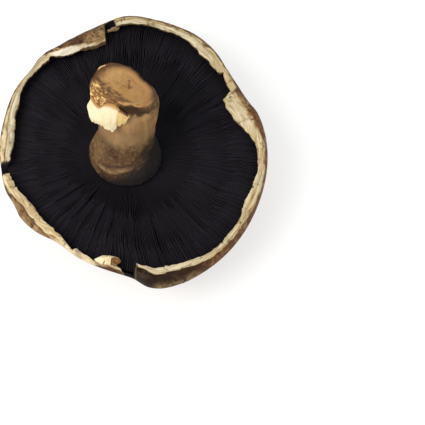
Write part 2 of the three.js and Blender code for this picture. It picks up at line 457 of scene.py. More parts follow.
@dataclass(frozen=True)
class StemForm:
    """The stem's shape: a bulb, a neck and a swollen end that is broken off aslant."""

    foot: tuple[float, float, float] = (-3.4, -1.4, 17.0)
    top: tuple[float, float, float] = (-2.0, 11.2, 62.0)
    bend: float = 0.3
    weave: Profile = Profile((
        (0, 0), (0.15, -0.1), (0.3, -0.2), (0.42, 0.5), (0.58, 1.1), (0.8, 0.6), (1, 0.5),
    ))
    radius: Profile = Profile((
        (0, 15), (0.1, 16.3), (0.2, 15.9), (0.28, 14.6), (0.36, 13.1), (0.48, 12.3), (0.62, 13.1),
        (0.74, 14.6), (0.84, 15.5), (0.92, 15.8), (1, 14.4),
    ))
    end_flatness: float = 0.2
    shave: float = 0.22
    shave_side: float = 33.0
    slim: float = 0.09
    slim_side: float = 26.0
    break_slope: float = 5.2
    break_high_side: float = 238.0
    break_hollow: float = 1.6

    def middle(self, share: Array) -> Array:
        """Points on the middle line, which is upright through the bulb, then leans and weaves."""
        bent = 0.35 * share**2 / self.bend
        lean = np.where(share <= self.bend, bent, share - 0.65 * self.bend)
        along = lean / (1 - 0.65 * self.bend)
        foot, top = np.array(self.foot), np.array(self.top)
        plan = foot[:2] + (top - foot)[:2] * along[..., None]
        plan[..., 0] += self.weave.at(share)
        height = foot[2] + (top - foot)[2] * share
        return np.concatenate([plan, height[..., None]], axis=-1)

    def side(self, angle: Array, share: Array) -> Array:
        """Points on the stem's side.

        The profile's radius round the middle line, a little narrower across the broken slope,
        shaved flatter on one side and slimmer on that side of the bulb, and higher towards the high
        side by the cube of the share.

        Args:
            angle: Degrees round the stem.
            share: 0 at the foot, 1 at the edge of the broken end.

        Returns:
            The points.
        """
        angle, share = np.broadcast_arrays(angle, share)
        sway = 1 + 0.02 * np.sin(np.radians(3 * angle - 100))
        uphill = np.cos(np.radians(angle - self.break_high_side))
        flat = 1 - self.end_flatness * uphill**2 * smoothstep(share, 0.4, 0.9)
        shaved = hill(turn_between(angle, self.shave_side), 0.0, 60.0) * smoothstep(share, 0.55, 0.95)
        slimmed = hill(turn_between(angle, self.slim_side), 0.0, 50.0) * hill(share, 0.22, 0.24)
        flat = flat * (1 - self.shave * shaved) * (1 - self.slim * slimmed)
        lift = self.break_slope * uphill * np.maximum(share, 0.0) ** 3
        rounded = 1 - 0.4 * smoothstep(share, 0.14, -0.08)
        return self.middle(share) + polar(angle, self.radius.at(share) * sway * flat * rounded, lift)

    def broken_end(self, angle: Array, share: Array) -> Array:
        """Points on the broken end, from its middle, at 0, to its edge, at 1: a shallow hollow."""
        angle, share = np.broadcast_arrays(angle, share)
        edge = self.side(angle, np.ones_like(share))
        middle = self.middle(np.ones_like(share))
        rounding = 1.2 * smoothstep(share, 0.6, 0.85) * smoothstep(1 - share, 0.0, 0.15)
        hollow = self.break_hollow * (1 - share**2) - rounding
        points = blend(middle, edge, share)
        points[..., 2] -= hollow
        return points


# Shader nodes


def srgb(red: int, green: int, blue: int) -> Colour:
    """A colour as a painter names it, as the linear light that a shader takes.

    A channel's share s of 255 becomes s / 12.92 where it is small, else ((s + 0.055) / 1.055) ** 2.4.

    Args:
        red: The red channel, from 0 to 255.
        green: The green channel.
        blue: The blue channel.

    Returns:
        The colour, with an alpha of 1.
    """
    share = np.array([red, green, blue]) / 255.0
    linear = np.where(share <= 0.04045, share / 12.92, ((share + 0.055) / 1.055) ** 2.4)
    return (*map(float, linear), 1.0)


def per(size: float) -> float:
    """The scale that gives a pattern on Object coordinates features of a size in millimetres."""
    return 1.0 / (size * MM)


class Sheet:
    """A node tree in the making, with short ways to add nodes and join them."""

    MIX_SHARE, MIX_FIRST, MIX_SECOND, MIX_RESULT = 0, 6, 7, 2

    def __init__(self, tree: bpy.types.NodeTree) -> None:
        """Takes the tree that the nodes go into."""
        self.tree = tree

    def node(self, kind: str, inputs: dict | None = None, **settings: object) -> bpy.types.Node:
        """Adds a node.

        Args:
            kind: The node's type.
            inputs: For each input, by name or place, the socket that feeds it or its value.
            **settings: The node's own settings.

        Returns:
            The node.
        """
        made = self.tree.nodes.new(kind)
        for name, value in settings.items():
            setattr(made, name, value)
        for name, value in (inputs or {}).items():
            if isinstance(value, bpy.types.NodeSocket):
                self.tree.links.new(value, made.inputs[name])
            else:
                made.inputs[name].default_value = value
        return made

    def mix(self, share: object, first: object, second: object) -> Socket:
        """The colour on the way from first to second."""
        inputs = {self.MIX_SHARE: share, self.MIX_FIRST: first, self.MIX_SECOND: second}
        return self.node("ShaderNodeMix", inputs, data_type="RGBA").outputs[self.MIX_RESULT]

    def math(self, operation: str, *values: object) -> Socket:
        """The result of a sum on numbers."""
        return self.node("ShaderNodeMath", dict(enumerate(values)), operation=operation).outputs[0]

    def between(self, share: Socket, first: float, second: float) -> Socket:
        """The number on the way from first to second."""
        ends = {"Value": share, "To Min": first, "To Max": second}
        return self.node("ShaderNodeMapRange", ends).outputs["Result"]

    def cut(self, value: Socket, low: Socket, high: Socket) -> Socket:
        """A smooth rise from 0, where the value is low, to 1, where it is high."""
        inputs = {"Value": value, "From Min": low, "From Max": high}
        return self.node("ShaderNodeMapRange", inputs, interpolation_type="SMOOTHSTEP").outputs["Result"]

    def noise(self, vector: Socket, scale: object, detail: object, **inputs: object) -> Socket:
        """Cloudy noise, near 0.5 on the whole."""
        all_inputs = {"Vector": vector, "Scale": scale, "Detail": detail} | inputs
        return self.node("ShaderNodeTexNoise", all_inputs).outputs["Fac"]


def new_group(
    name: str, inputs: dict[str, object], outputs: tuple[str, ...]
) -> tuple[Sheet, bpy.types.NodeOutputs]:
    """Starts a shader node group.

    Args:
        name: The group's name.
        inputs: For each input its usual value, a number or a vector.
        outputs: The names of the outputs, all numbers.

    Returns:
        The group's tree, and the sockets in it that hold what the group is given.
    """
    tree = bpy.data.node_groups.new(name, "ShaderNodeTree")
    for label, value in inputs.items():
        kind = "NodeSocketFloat" if isinstance(value, float) else "NodeSocketVector"
        socket = tree.interface.new_socket(label, in_out="INPUT", socket_type=kind)
        socket.default_value = value
    for label in outputs:
        tree.interface.new_socket(label, in_out="OUTPUT", socket_type="NodeSocketFloat")
    sheet = Sheet(tree)
    return sheet, sheet.node("NodeGroupInput").outputs


class Effects:
    """Node groups that more than one finish uses, each built once."""

    def __init__(self) -> None:
        """Builds the groups."""
        self.patches = self._patches()
        self.streaks = self._streaks()
        self.specks = self._specks()
        self.relief = self._relief()

    @staticmethod
    def _patches() -> bpy.types.NodeTree:
        """Soft uneven patches: cloudy noise, cut between a low and a high value."""
        usual = {"Vector": (0.0, 0.0, 0.0), "Scale": 100.0, "Detail": 4.0, "Low": 0.4, "High": 0.6}
        sheet, given = new_group("patches", usual, ("Mask",))
        noise = sheet.noise(given["Vector"], given["Scale"], given["Detail"], Roughness=0.6)
        sheet.node("NodeGroupOutput", {"Mask": sheet.cut(noise, given["Low"], given["High"])})
        return sheet.tree

    @staticmethod
    def _streaks() -> bpy.types.NodeTree:
        """Long streaks: noise on coordinates that are stretched by a different amount each way."""
        usual = {"Vector": (0.0, 0.0, 0.0), "Stretch": (1.0, 1.0, 1.0), "Low": 0.4, "High": 0.6}
        sheet, given = new_group("streaks", usual, ("Mask", "Height"))
        inputs = {0: given["Vector"], 1: given["Stretch"]}
        stretched = sheet.node("ShaderNodeVectorMath", inputs, operation="MULTIPLY").outputs[0]
        noise = sheet.noise(stretched, 1.0, 4.0)
        outputs = {"Mask": sheet.cut(noise, given["Low"], given["High"]), "Height": noise}
        sheet.node("NodeGroupOutput", outputs)
        return sheet.tree

    @staticmethod
    def _specks() -> bpy.types.NodeTree:
        """Scattered specks: round cells of a size, of which only a random share is kept."""
        usual = {"Vector": (0.0, 0.0, 0.0), "Scale": 300.0, "Size": 0.3, "Amount": 0.5}
        sheet, given = new_group("specks", usual, ("Mask",))
        cells = sheet.node("ShaderNodeTexVoronoi", {"Vector": given["Vector"], "Scale": given["Scale"]})
        small = sheet.math("LESS_THAN", cells.outputs["Distance"], given["Size"])
        chance = sheet.node("ShaderNodeSeparateColor", {"Color": cells.outputs["Color"]}).outputs["Red"]
        kept = sheet.math("LESS_THAN", chance, given["Amount"])
        sheet.node("NodeGroupOutput", {"Mask": sheet.math("MULTIPLY", small, kept)})
        return sheet.tree

    @staticmethod
    def _relief() -> bpy.types.NodeTree:
        """Fine relief: a coarse and a fine noise added together."""
        usual = {"Vector": (0.0, 0.0, 0.0), "Coarse": 400.0, "Fine": 1600.0, "Fine share": 0.4}
        sheet, given = new_group("relief", usual, ("Height",))
        coarse, fine = (sheet.noise(given["Vector"], given[name], 3.0) for name in ("Coarse", "Fine"))
        added = sheet.math("MULTIPLY", fine, given["Fine share"])
        sheet.node("NodeGroupOutput", {"Height": sheet.math("ADD", coarse, added)})
        return sheet.tree


class Paint(Sheet):
    """A material in the making, which lays colours over one another with the shared effects."""

    def __init__(self, name: str, effects: Effects) -> None:
        """Starts an empty material.

        Args:
            name: The material's name.
            effects: The shared node groups.
        """
        self.material = bpy.data.materials.new(name)
        self.material.use_nodes = True
        self.material.node_tree.nodes.clear()
        super().__init__(self.material.node_tree)
        self.effects = effects
        self.place = self.node("ShaderNodeTexCoord").outputs["Object"]

    def mask(self, name: str) -> Socket:
        """The mask of that name, one value a point."""
        return self.node("ShaderNodeAttribute", attribute_name=name).outputs["Fac"]

    def way(self) -> Socket:
        """The surface's own coordinates, which follow its growth."""
        return self.node("ShaderNodeAttribute", attribute_name="way").outputs["Vector"]

    def group(self, tree: bpy.types.NodeTree, inputs: dict, output: str) -> Socket:
        """An output of a node group that is placed with its own values."""
        return self.node("ShaderNodeGroup", inputs, node_tree=tree).outputs[output]

    def patches(self, size: float, low: float, high: float, detail: float = 4.0) -> Socket:
        """Where soft patches lie.

        Args:
            size: Their size in millimetres.
            low: The noise at which a patch begins.
            high: The noise at which it is full.
            detail: How finely its edge is broken up.

        Returns:
            1 in a patch, 0 outside.
        """
        inputs = {"Vector": self.place, "Scale": per(size), "Detail": detail, "Low": low, "High": high}
        return self.group(self.effects.patches, inputs, "Mask")

    def streaks(self, along: Socket, stretch: tuple[float, float, float], low: float, high: float) -> Socket:
        """Where streaks lie.

        Args:
            along: The coordinates that they are read on.
            stretch: How many there are to a unit, each way.
            low: The noise at which a streak begins.
            high: The noise at which it is full.

        Returns:
            1 in a streak, 0 outside.
        """
        inputs = {"Vector": along, "Stretch": stretch, "Low": low, "High": high}
        return self.group(self.effects.streaks, inputs, "Mask")

    def relief(self, coarse: float, fine: float) -> Socket:
        """The height of a fine relief with features of two sizes in millimetres."""
        inputs = {"Vector": self.place, "Coarse": per(coarse), "Fine": per(fine)}
        return self.group(self.effects.relief, inputs, "Height")

    def layered(self, colour: object, *layers: tuple[object, object]) -> Socket:
        """A colour with others laid over it, one after another.

        Args:
            colour: The lowest colour.
            *layers: Each further colour, after the mask's name or the socket that says where it lies.

        Returns:
            The colour that is seen.
        """
        for where, layer in layers:
            share = self.mask(where) if isinstance(where, str) else where
            colour = self.mix(share, colour, layer)
        return colour

    def close(self, shader: dict[str, object], height: Socket, distance: float) -> bpy.types.Material:
        """Ends the material with its shader and a bump.

        Args:
            shader: For each input of the shader, the socket that feeds it or its value.
            height: The height that the bump reads.
            distance: How high a height of 1 stands, in millimetres.

        Returns:
            The material.
        """
        bump = self.node("ShaderNodeBump", {"Height": height, "Strength": 1.0, "Distance": distance * MM})
        inputs = shader | {"Normal": bump.outputs["Normal"]}
        surface = self.node("ShaderNodeBsdfPrincipled", inputs)
        self.node("ShaderNodeOutputMaterial", {"Surface": surface.outputs["BSDF"]})
        return self.material


class Finish(ABC):
    """What all finishes share: each becomes one material."""

    @abstractmethod
    def material(self, effects: Effects) -> bpy.types.Material:
        """The finish as a material."""


@dataclass(frozen=True)
class CapFinish(Finish):
    """The cap's skin, its bare flesh and the dark bed under the gills, told apart by masks."""

    skin: Colour = srgb(118, 70, 36)
    skin_dark: Colour = srgb(84, 50, 29)
    skin_light: Colour = srgb(146, 94, 52)
    margin: Colour = srgb(72, 53, 38)
    # dark mottle, and also the painted shade on the low flap and in creases
    margin_dark: Colour = srgb(28, 20, 14)
    margin_light: Colour = srgb(118, 90, 58)
    margin_tan: Colour = srgb(172, 142, 100)
    scale_top: Colour = srgb(166, 122, 78)
    scale_gap: Colour = srgb(74, 46, 28)
    speck: Colour = srgb(58, 40, 30)
    flesh: Colour = srgb(200, 175, 128)
    flesh_light: Colour = srgb(222, 204, 162)
    flesh_tan: Colour = srgb(158, 124, 78)
    flesh_brown: Colour = srgb(112, 82, 50)
    inner: Colour = srgb(178, 164, 132)
    inner_light: Colour = srgb(220, 208, 176)
    # fine brown lines along the rim, and painted shade in the groove between the rolls and in cracks
    line: Colour = srgb(104, 78, 48)
    # browned flesh of the wall below the lip, with painted shade there, along the inner edge and under the
    # curl
    wall: Colour = srgb(128, 102, 68)
    torn: Colour = srgb(232, 222, 198)
    bed: Colour = srgb(27, 25, 28)
    flesh_roughness: float = 0.82
    skin_roughness: float = 0.56

    def material(self, effects: Effects) -> bpy.types.Material:
        """The finish as a material, with fine ribs that follow the rim."""
        paint = Paint("cap skin and flesh", effects)
        colour = paint.layered(self._flesh(paint), ("skin", self._skin(paint)), ("gilled", self.bed))
        rough = paint.between(paint.mask("skin"), self.flesh_roughness, self.skin_roughness)
        ribs = paint.group(effects.streaks, {"Vector": paint.way(), "Stretch": (9.0, 9.0, 2.0)}, "Height")
        height = paint.math("ADD", paint.relief(1.1, 0.35), paint.math("MULTIPLY", ribs, 1.6))
        shader = {"Base Color": colour, "Roughness": rough, "Specular IOR Level": 0.1}
        return paint.close(shader, height, distance=0.16)

    def _skin(self, paint: Paint) -> Socket:
        """Chestnut skin: cloudy patches, fibrils that run out to the margin, scales and specks."""
        fibrils = paint.streaks(paint.way(), (150.0, 150.0, 0.35), 0.5, 0.72)
        specks = {"Vector": paint.place, "Scale": per(2.4), "Size": 0.14, "Amount": 0.08}
        return paint.layered(
            self.skin,
            (paint.patches(26, 0.42, 0.66), self.skin_light),
            (paint.patches(7, 0.44, 0.78, detail=8.0), self.skin_dark),
            (paint.math("MULTIPLY", fibrils, 0.5), self.skin_light),
            ("scale_gap", self.scale_gap),
            ("scale", self.scale_top),
            ("margin", self._margin(paint)),
            (paint.group(paint.effects.specks, specks, "Mask"), self.speck),
        )

    def _margin(self, paint: Paint) -> Socket:
        """Skin near the margin: darker, mottled, rubbed to tan in places; painted shade on a flap and in
        creases.
        """
        rub = paint.patches(2.2, 0.36, 0.58, detail=8.0)
        return paint.layered(
            self.margin,
            (paint.patches(4.5, 0.43, 0.6, detail=6.0), self.margin_light),
            (paint.patches(9, 0.54, 0.64, detail=6.0), self.margin_tan),
            (paint.patches(1.7, 0.5, 0.64, detail=3.0), self.margin_dark),
            (paint.math("MULTIPLY", paint.mask("worn"), rub), self.margin_tan),
            # painted shade: the low flap and the creases darkened, less where the skin is rubbed
            (paint.math("MULTIPLY", paint.mask("painted_shade"), paint.between(rub, 1.0, 0.91)), self.margin_dark),
        )

    def _flesh(self, paint: Paint) -> Socket:
        """Margin flesh: tan outer and paler inner roll, lined along the rim; painted shade in grooves and on
        walls.
        """
        way = paint.way()
        pale = paint.streaks(way, (7.0, 7.0, 0.9), 0.42, 0.62)
        lines = paint.math("MULTIPLY", paint.streaks(way, (11.0, 11.0, 2.6), 0.57, 0.66), 0.6)
        return paint.layered(
            self.flesh,
            (pale, self.flesh_light),
            (paint.streaks(way, (9.0, 9.0, 1.2), 0.5, 0.68), self.flesh_tan),
            ("inner", paint.mix(pale, self.inner, self.inner_light)),
            # painted shade in the groove and cracks, over the rim's own fine lines
            (paint.math("MAXIMUM", lines, paint.mask("groove")), self.line),
            (paint.patches(3.4, 0.57, 0.7), self.flesh_brown),
            ("torn", self.torn),
            ("wall", self.wall),
        )


@dataclass(frozen=True)
class GillFinish(Finish):
    """Ripe gills, near black, with a painted highlight along their free edges and browner patches."""

    deep: Colour = srgb(28, 27, 31)
    # painted highlight: the free edges drawn lighter than the deep gaps
    edge: Colour = srgb(37, 34, 40)
    brown: Colour = srgb(42, 36, 38)

    def material(self, effects: Effects) -> bpy.types.Material:
        """The finish as a material."""
        paint = Paint("ripe gills", effects)
        browned = paint.math("MULTIPLY", paint.patches(9, 0.52, 0.75), paint.mask("shade"))
        colour = paint.layered(self.deep, ("free_edge", self.edge), (browned, self.brown))
        shader = {"Base Color": colour, "Roughness": 0.8, "Specular IOR Level": 0.14}
        return paint.close(shader, paint.relief(1.2, 0.4), distance=0.08)


@dataclass(frozen=True)
class StemFinish(Finish):
    """The stem: fibrous tan and brown skin, a browned broken end and painted shade in the undercut below it.
    """

    skin: Colour = srgb(154, 115, 72)
    skin_light: Colour = srgb(176, 138, 92)
    skin_dark: Colour = srgb(122, 88, 52)
    grey: Colour = srgb(140, 114, 80)
    bulb: Colour = srgb(62, 42, 27)
    bulb_brown: Colour = srgb(94, 67, 42)
    bulb_light: Colour = srgb(130, 102, 68)
    # golden tint of the bulb's left flank, lightened with a painted highlight
    golden_highlight: Colour = srgb(142, 112, 70)
    # painted highlight along the bulb's ridge, and painted shade in the crease above it
    ridge: Colour = srgb(150, 122, 82)
    crease: Colour = srgb(58, 42, 30)
    # black spore dust, with painted shade where the stem meets the gills and on its right side
    foot: Colour = srgb(33, 29, 29)
    face: Colour = srgb(178, 135, 77)
    face_light: Colour = srgb(193, 151, 96)
    face_dark: Colour = srgb(152, 110, 60)
    # pinkish brown, deepened with painted shade on the right side of the face
    face_pink_shade: Colour = srgb(160, 117, 72)
    # darker brown far rim of the break, deepened with painted shade
    face_edge: Colour = srgb(92, 62, 36)
    mottle: Colour = srgb(122, 84, 48)
    mottle_light: Colour = srgb(178, 134, 84)
    pit: Colour = srgb(96, 64, 36)
    crumb: Colour = srgb(246, 208, 138)
    crumb_gap: Colour = srgb(134, 90, 46)
    # painted shade under the broken end's edge and down its right side
    undercut: Colour = srgb(62, 40, 23)

    def material(self, effects: Effects) -> bpy.types.Material:
        """The finish as a material."""
        paint = Paint("stem", effects)
        # painted shade: the undercut below the broken end, mottled down its right side
        mottled_shade = paint.math("MULTIPLY", paint.mask("undercut"), paint.patches(3, 0.3, 0.55, detail=5.0))
        colour = paint.layered(
            self._side(paint),
            ("face", self._face(paint)),
            ("crumb", paint.mix(paint.mask("crumb_top"), self.crumb_gap, self.crumb)),
            (paint.math("MAXIMUM", mottled_shade, paint.mask("shadow")), self.undercut),
            ("foot", self.foot),
        )
        shader = {"Base Color": colour, "Roughness": 0.78, "Specular IOR Level": 0.25}
        return paint.close(shader, paint.relief(0.9, 0.3), distance=0.15)

    def _side(self, paint: Paint) -> Socket:
        """Soft fibres up the side, over a mottled bulb with a painted highlight on its ridge and painted
        shade in its crease.
        """
        bulb = paint.layered(
            self.bulb,
            (paint.patches(6, 0.4, 0.62, detail=5.0), self.bulb_brown),
            (paint.patches(1.2, 0.5, 0.72, detail=8.0), self.bulb_light),
            # golden left flank with a painted highlight on the lit side
            ("golden_highlight", self.golden_highlight),
            ("ridge", self.ridge),
            ("crease", self.crease),
        )
        return paint.layered(
            self.skin,
            (paint.streaks(paint.place, (260.0, 260.0, 34.0), 0.42, 0.72), self.skin_light),
            (paint.streaks(paint.place, (210.0, 210.0, 26.0), 0.5, 0.8), self.skin_dark),
            (paint.patches(13, 0.42, 0.66), self.grey),
            ("bulb", bulb),
        )

    def _face(self, paint: Paint) -> Socket:
        """The browned face of the break: soft tan, a mottled brown valley and a far edge darkened with
        painted shade.
        """
        return paint.layered(
            self.face,
            (paint.patches(12, 0.4, 0.65), self.face_light),
            (paint.patches(5, 0.5, 0.8), self.face_dark),
            ("ruddy_shade", self.face_pink_shade),
            ("mottle", paint.mix(paint.patches(1.8, 0.46, 0.64), self.mottle, self.mottle_light)),
            ("brim", self.face_light),
            ("face_edge", self.face_edge),
            ("pit", self.pit),
        )


@dataclass(frozen=True)
class TornFinish(Finish):
    """Flesh that is freshly torn: pale cream, yellower where it has begun to dry."""

    name: str
    fresh: Colour
    dry: Colour
    edge: Colour = srgb(180, 132, 78)

    def material(self, effects: Effects) -> bpy.types.Material:
        """The finish as a material."""
        paint = Paint(self.name, effects)
        colour = paint.layered(self.fresh, (paint.patches(5, 0.45, 0.68), self.dry), ("browned", self.edge))
        shader = {"Base Color": colour, "Roughness": 0.85, "Specular IOR Level": 0.2}
        return paint.close(shader, paint.relief(1.4, 0.5), distance=0.14)


# Pieces


@dataclass
class Cap:
    """The cap: skin, rolled margin and the bed of the gills, as one closed surface."""

    form: CapForm
    finish: CapFinish
    effects: Effects
    columns: int = 840
    skin_rows: int = 46
    lip_rows: int = 36
    bed_rows: int = 16
    # Where the margin is torn away, from one angle to another.
    gaps: tuple[tuple[float, float], ...] = ((99.6, 101.6), (187.8, 193.3), (267.0, 272.0))
    # How far in over the lip the skin reaches, as a share of the lip's width.
    skin_reach: RimTable = RimTable((
        (2, 0.3), (12, 0.4), (23, 0.42), (30, 0.42), (34, 0.36), (40, 0.26), (48, 0.3), (56, 0.36),
        (60, 0.42), (75, 0.44), (82, 0.46), (92, 0.42), (97, 0.4),
        (99, 0.3), (102.4, 1.3), (104.3, 1.3), (104.9, 0.9), (109, 0.9), (113, 0.84), (117, 0.7),
        (121, 0.54), (126, 0.48), (130, 0.5), (133, 0.32), (140, 0.28), (150, 0.26), (165, 0.2),
        (186, 0.14), (194, 0.1), (200, 0.12), (206, 0.3), (212, 0.46), (218, 0.5), (223, 0.44),
        (227, 0.28), (231, 0), (236, -0.6), (250, -0.6), (255.5, 0.1), (262, 0.3), (268, 0.3),
        (271.5, 0.8), (275.5, 0.8),
        (277.5, 0.7), (284, 0.62), (291, 0.58), (305, 0.4), (320, 0.3), (340, 0.2),
    ))
    # How freshly torn the flesh is.
    torn: RimTable = RimTable((
        (0, 0), (8, 0.1), (14, 0.25), (22, 0.15), (30, 0), (103, 0), (105, 0.3), (112, 0.35),
        (116.5, 0.4), (118, 0.9), (128, 1), (130.5, 0.1), (236, 0), (240, 0.3), (246, 0.3), (252, 0.2),
        (262, 0), (268, 0.3), (290, 0.3), (300, 0),
    ))
    # How many lip widths there are from the widest line to the crown.
    rim_share: float = 8.0
    # How dark the skin is near the margin: partly its own darker colour, partly painted shade, deepest on
    # the low flap.
    margin_shade: RimTable = RimTable((
        (0, 0.5), (60, 0.8), (100, 0.9), (130, 0.85), (180, 0.6), (200, 0.8), (240, 0.8), (262, 0.8),
        (268, 1), (290, 0.95), (305, 0.6), (330, 0.5),
    ))
    # How much thicker than usual the torn edge is.
    extra_thickness: RimTable = RimTable(((103.6, 0), (104.6, 3.2), (110, 2.8), (115.5, 2), (117.5, 0)))
    # How much paler the lip's inner roll is than its outer one.
    two_rolls: RimTable = RimTable((
        (0, 0.2), (40, 0.2), (50, 0.5), (60, 0.8), (98, 0.9), (100, 0), (130, 0.3), (140, 0.8), (186, 0.9),
        (190, 0.1), (208, 0.2), (214, 0), (262, 0), (280, 0.2), (300, 0.6), (345, 0.6),
    ))
    # Cracks across the lip, as an angle and a depth.
    cracks: tuple[tuple[float, float], ...] = (
        (14.0, 0.6), (32.0, 0.8), (37.5, 0.4), (62.0, 0.2), (113.0, 0.3), (196.6, 0.5), (200.4, 0.7),
        (243.4, 0.8), (284.0, 0.4), (311.0, 0.5), (341.0, 0.4),
    )

    def build(self) -> bpy.types.Object:
        """Builds the cap and hands it over."""
        rings, masks = self._rings()
        piece = Surface.from_rings(rings, masks).build("cap", self.finish.material(self.effects))
        hand_over(piece)
        return piece

    def _rings(self) -> tuple[Array, dict[str, Array]]:
        """All rings of the cap, from under the crown to inside the stem, and their masks."""
        angle = np.linspace(0.0, FULL_TURN, self.columns, endpoint=False)[None, :]
        sections = [self._skin(angle), self._lip(angle), self._bed(angle)]
        rings = np.concatenate([points for points, _ in sections])
        names = sections[0][1]
        masks = {name: np.concatenate([section[1][name] for section in sections]) for name in names}
        return rings, masks

    def _masks(self, points: Array, **given: Array) -> dict[str, Array]:
        """The masks of a section, 0 where none is given."""
        names = (
            "skin", "gilled", "torn", "scale", "scale_gap", "margin",
            "wall", "inner", "groove", "worn", "painted_shade",
        )
        masks = {name: np.broadcast_to(given.get(name, 0.0), points.shape[:2]) for name in names}
        return masks | {"way": given["way"]}

    def _way(self, angle: Array, length: Array) -> Array:
        """Coordinates that follow the growth: the direction round the cap, and a length across it."""
        parts = np.broadcast_arrays(np.cos(np.radians(angle)), np.sin(np.radians(angle)), length)
        return np.stack(parts, axis=-1)

    def _skin(self, angle: Array) -> tuple[Array, dict[str, Array]]:
        """The skin from the flat spot to the widest line.

        Relief: broad dents, radial wrinkles that grow towards the margin, and patches of scales
        that stand up along cracks. It only takes away, so that the outline stays.
        """
        turn = 90.0 * np.linspace(0.0, 1.0, self.skin_rows)[:, None] ** 0.9
        points = self.form.skin(angle, turn)
        out = np.broadcast_to(turn / 90.0, points.shape[:2])
        free = smoothstep(out, 0.02, 0.2)
        dents = Grain(11, 24.0).at(points)
        way = self._way(angle, out * 6.0)
        wrinkles = Grain(12, 1.0, 2).at(way * (34.0, 34.0, 1.2)) * smoothstep(out, 0.45, 0.95)
        ragged = np.stack([wrinkles, dents, Grain(15, 1.8, 2).at(points)], axis=-1)
        inside, label = Cells(13, 2.8).at(points + 1.1 * ragged)
        patch = smoothstep(Grain(14, 16.0, 2).at(points) + 0.9 * (out - 0.72), 0.05, 0.5)
        lifted = patch * smoothstep(inside, 0.04, 0.3) * (0.35 + 0.65 * label)
        relief = 0.45 * (dents - 0.8) + 0.12 * (wrinkles - 1.0) + 0.2 * (lifted - 1.0)
        closing = smoothstep(out, 1.0, 0.93)
        short_of_rim = -self.rim_share * (1.0 - out)
        edge = self._skin_edge(angle)
        given = {
            "way": way,
            "skin": smoothstep(short_of_rim, edge + 0.05, edge - 0.05),
            "scale": 0.85 * lifted * smoothstep(label, 0.5, 1.0),
            "scale_gap": 0.6 * patch * smoothstep(inside, 0.16, 0.0),
            "margin": self.margin_shade.straight(angle) * smoothstep(out, 0.84, 1.0),
            "worn": self._worn(angle, short_of_rim),
            "painted_shade": self._painted_shade(angle, short_of_rim, edge),
        }
        return raised(points, relief * free * (0.05 + 0.95 * closing)), self._masks(points, **given)

    def _worn(self, angle: Array, across: Array) -> Array:
        """Where the dark skin is rubbed down to tan."""
        low = 0.85 * sector(angle, 279.5, 298.0, 4.0) * hill(across, 0.02, 0.28)
        left = 0.8 * sector(angle, 204.0, 226.0, 10.0) * hill(across, 0.0, 0.6)
        upper = 0.85 * sector(angle, 103.0, 113.0, 6.0) * smoothstep(across, 0.2, 0.6)
        top = 0.8 * sector(angle, 58.0, 98.0, 8.0) * smoothstep(across, 0.15, 0.45)
        return low + left + upper + top

    def _painted_shade(self, angle: Array, across: Array, edge: Array) -> Array:
        """Where shade is painted into the skin: one low flap, and the creases beside the rubbed places."""
        rubbed = np.clip(self._worn(angle, across), 0.0, 1.0)
        flap = sector(angle, 266.0, 300.0, 8.0) * (1.0 - 0.9 * rubbed)
        creases = np.maximum(hill(across, -0.04, 0.12), hill(across, edge - 0.04, 0.09))
        creased = 0.55 * sector(angle, 198.0, 230.0, 10.0) + 0.5 * sector(angle, 58.0, 96.0, 8.0)
        creased = creased + 0.45 * sector(angle, 112.0, 122.0, 5.0)
        return flap + creased * creases

    def _skin_edge(self, angle: Array) -> Array:
        """Where the skin ends, as a share of the lip's width, with an uneven edge."""
        return self.skin_reach.straight(angle) + 0.07 * Grain(23, 3.4).at(polar(angle, 60.0, 0.0))

    def _lip(self, angle: Array) -> tuple[Array, dict[str, Array]]:
        """The rolled margin, its rounded inner edge and the start of the face below it.

        Relief: soft streaks and rolls along the rim, lumps, a crease where the skin ends and a few
        cracks across.
        """
        form = self.form
        upper = np.linspace(0.0, 1.0, self.lip_rows)[1:] ** 0.95
        across = np.concatenate([upper, [1.0, 1.0, 0.99, 0.97, 0.93, 0.87]])[:, None]
        drop = np.concatenate([np.zeros_like(upper), [0.2, 0.45, 0.68, 0.85, 0.95, 1.0]])[:, None]
        rim = polar(angle, 60.0, 0.0)
        gap = self._gap(angle)
        ragged = (0.5 * Grain(21, 7.0).at(rim) + 0.22 * Grain(22, 1.7, 2).at(rim)) * (1.0 - 0.6 * gap)
        points = form.lip(angle, across, drop, ragged)
        extra = self.extra_thickness.straight(angle)
        points[..., 2] -= drop * extra
        length = across * form.lip_width.straight(angle)
        way = self._way(angle, np.broadcast_to(length, points.shape[:2]))
        edge = self._skin_edge(angle)
        skin = smoothstep(across, edge + 0.04, edge - 0.04)
        streaks = Grain(24, 1.0, 2).at(way * (5.0, 5.0, 0.8))
        rolls = Grain(26, 1.0, 1).at(way * (3.0, 3.0, 0.34) + 7.0)
        lumps = Grain(25, 3.0, 2).at(points)
        crease = hill(across, edge + 0.03, 0.07) * smoothstep(edge, 0.02, 0.12)
        bent = turn_between(angle, 0.0) + 0.8 * lumps
        cracks = sum(deep * hill(turn_between(bent, at), 0.0, 0.7) for at, deep in self.cracks)
        worn = smoothstep(across, 0.0, 0.3)
        split = 0.52 + 0.06 * Grain(27, 6.0).at(rim)
        two_rolls = self.two_rolls.straight(angle)
        groove = two_rolls * hill(across, split, 0.09)
        relief = 0.16 * (streaks - 0.5) + 0.3 * (rolls - 0.4) + 0.16 * (lumps - 0.6) - 0.25 * crease
        relief = relief - 0.4 * groove
        relief = (relief - cracks * smoothstep(across, 0.1, 0.6)) * worn
        brim = 0.6 * smoothstep(across + 0.03 * lumps, 0.93, 1.0)
        wall = np.maximum(smoothstep(drop, 0.0, 0.12), sector(angle, 101.4, 104.0, 0.8))
        dark = np.maximum(gap, smoothstep(drop, 0.5, 0.95) * (1.0 - 0.75 * smoothstep(extra, 0.2, 0.9)))
